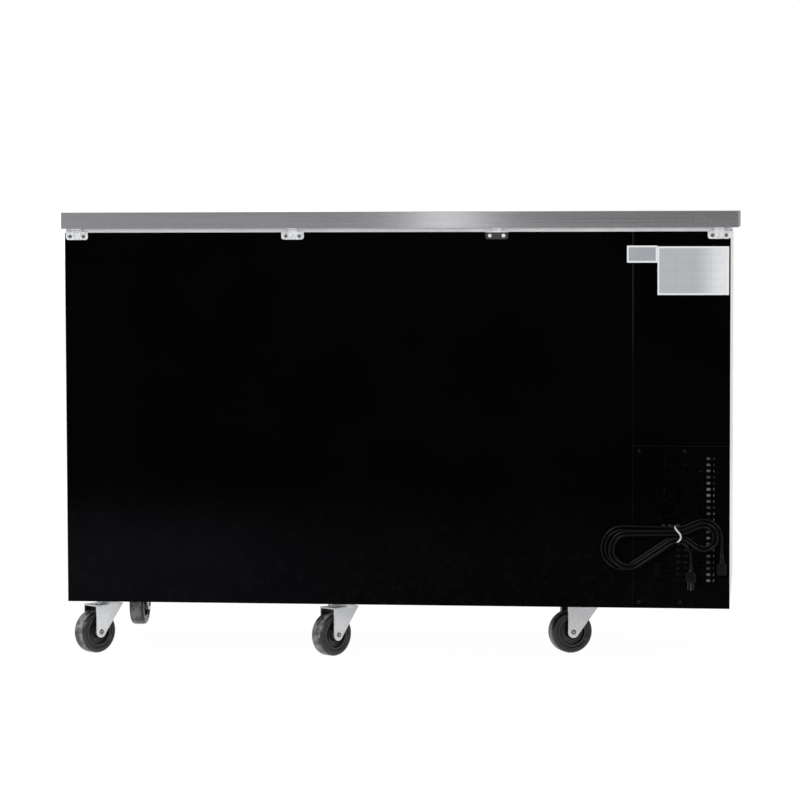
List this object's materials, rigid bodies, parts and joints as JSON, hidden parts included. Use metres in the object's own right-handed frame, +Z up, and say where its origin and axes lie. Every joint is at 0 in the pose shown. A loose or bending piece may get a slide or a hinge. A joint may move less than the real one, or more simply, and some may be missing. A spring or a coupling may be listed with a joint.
{
  "type": "under counter fridge",
  "caption": "Black under counter fridge with a steel counter, swing doors, a vented machine bay at one end, a tied mains cord at the rear, and swivel casters.",
  "frame": {"origin": "on the floor, under the middle of the counter", "axes": "+Z up, doors face -Y, machine bay at the -X end"},
  "size_m": [1.55, 0.7102, 1.029],
  "materials": {
    "counter_steel": "brushed along the length",
    "core_edge": "plain pale sheet edge",
    "bracket_zinc": "zinc plated",
    "black_paint": "smooth black, half gloss",
    "black_screw": "black zinc",
    "plate_silver": "bare satin",
    "zinc": "bright zinc",
    "foam": "rigid foam",
    "liner_metal": "satin",
    "shelf_wire": "grey coated wire",
    "white_plastic": "moulded",
    "coil_metal": "mill finish fins",
    "motor_metal": "grey",
    "fan_plastic": "moulded",
    "compressor_paint": "black",
    "copper": "drawn copper tube",
    "black_plastic": "moulded",
    "grey_plastic": "moulded",
    "switch_plastic": "moulded",
    "cord_black": "smooth jacket",
    "tie_white": "plain",
    "gasket": "soft",
    "wheel_rubber": "moulded rubber",
    "brake_paint": "red"
  },
  "bodies": {
    "cabinet": {"countertop": "counter_steel", "counter_core": "core_edge", "counter_brackets": "bracket_zinc", "bracket_screws": "bracket_zinc", "rear_panel": "black_paint", "side_panel_left": "black_paint", "side_panel_right": "black_paint", "bay_rear_panel": "black_paint", "vent_panel": "black_paint", "panel_screws": "black_screw", "rating_plates": "plate_silver", "base_frame": "zinc", "cabinet_foam": "foam", "inner_liner": "liner_metal", "face_frame": "black_paint", "hinge_brackets": "zinc", "wire_shelves": "shelf_wire", "shelf_supports": "zinc", "evaporator_cover": "white_plastic", "evaporator_coil": "coil_metal", "evaporator_motor": "motor_metal", "compressor": "compressor_paint", "condenser_coil": "coil_metal", "condenser_motor": "motor_metal", "refrigerant_lines": "copper", "drain_pan": "black_plastic", "front_grille": "black_paint", "control_panel": "black_plastic", "cord_gland": "black_plastic", "power_cord": "cord_black", "cord_tie": "tie_white", "power_plug": "cord_black", "caster_plates": "zinc", "caster_bolts": "zinc"},
    "door_left": {"door_left_skin": "black_paint", "door_left_liner": "white_plastic", "door_left_gasket": "gasket", "door_left_handle": "black_plastic"},
    "door_right": {"door_right_skin": "black_paint", "door_right_liner": "white_plastic", "door_right_gasket": "gasket", "door_right_handle": "black_plastic"},
    "condenser_fan": {"condenser_fan": "fan_plastic"},
    "evaporator_fan": {"evaporator_fan": "fan_plastic"},
    "thermostat_knob": {"thermostat_knob": "grey_plastic"},
    "power_switch": {"power_switch": "switch_plastic"},
    "fork_rear_right": {"fork_rear_right": "zinc"},
    "wheel_rear_right": {"wheel_rear_right": "wheel_rubber"},
    "fork_rear_middle": {"fork_rear_middle": "zinc"},
    "wheel_rear_middle": {"wheel_rear_middle": "wheel_rubber"},
    "fork_rear_left": {"fork_rear_left": "zinc"},
    "wheel_rear_left": {"wheel_rear_left": "wheel_rubber"},
    "fork_front_right": {"fork_front_right": "zinc"},
    "wheel_front_right": {"wheel_front_right": "wheel_rubber"},
    "brake_front_right": {"brake_front_right": "brake_paint"},
    "fork_front_middle": {"fork_front_middle": "zinc"},
    "wheel_front_middle": {"wheel_front_middle": "wheel_rubber"},
    "fork_front_left": {"fork_front_left": "zinc"},
    "wheel_front_left": {"wheel_front_left": "wheel_rubber"},
    "brake_front_left": {"brake_front_left": "brake_paint"}
  },
  "joints": [
    {"name": "door_left_swing", "type": "hinge", "parent": "cabinet", "child": "door_left", "pos_m": [-0.525, -0.331, 0.555], "axis": [0, 0, -1], "range_deg": [0, 110]},
    {"name": "door_right_swing", "type": "hinge", "parent": "cabinet", "child": "door_right", "pos_m": [0.758, -0.331, 0.555], "axis": [0, 0, 1], "range_deg": [0, 110]},
    {"name": "condenser_fan_spin", "type": "hinge", "parent": "cabinet", "child": "condenser_fan", "pos_m": [-0.6485, -0.158, 0.295], "axis": [0, 1, 0], "continuous": true},
    {"name": "evaporator_fan_spin", "type": "hinge", "parent": "cabinet", "child": "evaporator_fan", "pos_m": [-0.43, 0.06, 0.804], "axis": [1, 0, 0], "continuous": true},
    {"name": "thermostat_turn", "type": "hinge", "parent": "cabinet", "child": "thermostat_knob", "pos_m": [-0.6825, -0.33, 0.9], "axis": [0, -1, 0], "range_deg": [-135, 135]},
    {"name": "switch_rock", "type": "hinge", "parent": "cabinet", "child": "power_switch", "pos_m": [-0.6105, -0.323, 0.9], "axis": [1, 0, 0], "range_deg": [0, 20]},
    {"name": "swivel_rear_right", "type": "hinge", "parent": "cabinet", "child": "fork_rear_right", "pos_m": [0.697, 0.241, 0.112], "axis": [0, 0, 1], "continuous": true},
    {"name": "roll_rear_right", "type": "hinge", "parent": "fork_rear_right", "child": "wheel_rear_right", "pos_m": [0.72091, 0.27053, 0.05], "axis": [-0.7771, 0.6293, 0], "continuous": true},
    {"name": "swivel_rear_middle", "type": "hinge", "parent": "cabinet", "child": "fork_rear_middle", "pos_m": [0.138, 0.241, 0.112], "axis": [0, 0, 1], "continuous": true},
    {"name": "roll_rear_middle", "type": "hinge", "parent": "fork_rear_middle", "child": "wheel_rear_middle", "pos_m": [0.1614, 0.27094, 0.05], "axis": [-0.788, 0.6157, 0], "continuous": true},
    {"name": "swivel_rear_left", "type": "hinge", "parent": "cabinet", "child": "fork_rear_left", "pos_m": [-0.421, 0.15, 0.112], "axis": [0, 0, 1], "continuous": true},
    {"name": "roll_rear_left", "type": "hinge", "parent": "fork_rear_left", "child": "wheel_rear_left", "pos_m": [-0.38628, 0.16546, 0.05], "axis": [-0.4067, 0.9135, 0], "continuous": true},
    {"name": "swivel_front_right", "type": "hinge", "parent": "cabinet", "child": "fork_front_right", "pos_m": [0.715, -0.193, 0.112], "axis": [0, 0, 1], "continuous": true},
    {"name": "roll_front_right", "type": "hinge", "parent": "fork_front_right", "child": "wheel_front_right", "pos_m": [0.715, -0.231, 0.05], "axis": [1, 0, 0], "continuous": true},
    {"name": "brake_press_front_right", "type": "hinge", "parent": "fork_front_right", "child": "brake_front_right", "pos_m": [0.715, -0.233, 0.1055], "axis": [1, 0, 0], "range_deg": [0, 12]},
    {"name": "swivel_front_middle", "type": "hinge", "parent": "cabinet", "child": "fork_front_middle", "pos_m": [0.199, -0.193, 0.112], "axis": [0, 0, 1], "continuous": true},
    {"name": "roll_front_middle", "type": "hinge", "parent": "fork_front_middle", "child": "wheel_front_middle", "pos_m": [0.212, -0.22871, 0.05], "axis": [0.9397, 0.342, 0], "continuous": true},
    {"name": "swivel_front_left", "type": "hinge", "parent": "cabinet", "child": "fork_front_left", "pos_m": [-0.38, -0.193, 0.112], "axis": [0, 0, 1], "continuous": true},
    {"name": "roll_front_left", "type": "hinge", "parent": "fork_front_left", "child": "wheel_front_left", "pos_m": [-0.367, -0.22871, 0.05], "axis": [0.9397, 0.342, 0], "continuous": true},
    {"name": "brake_press_front_left", "type": "hinge", "parent": "fork_front_left", "child": "brake_front_left", "pos_m": [-0.36632, -0.23059, 0.1055], "axis": [0.9397, 0.342, 0], "range_deg": [0, 12]}
  ]
}
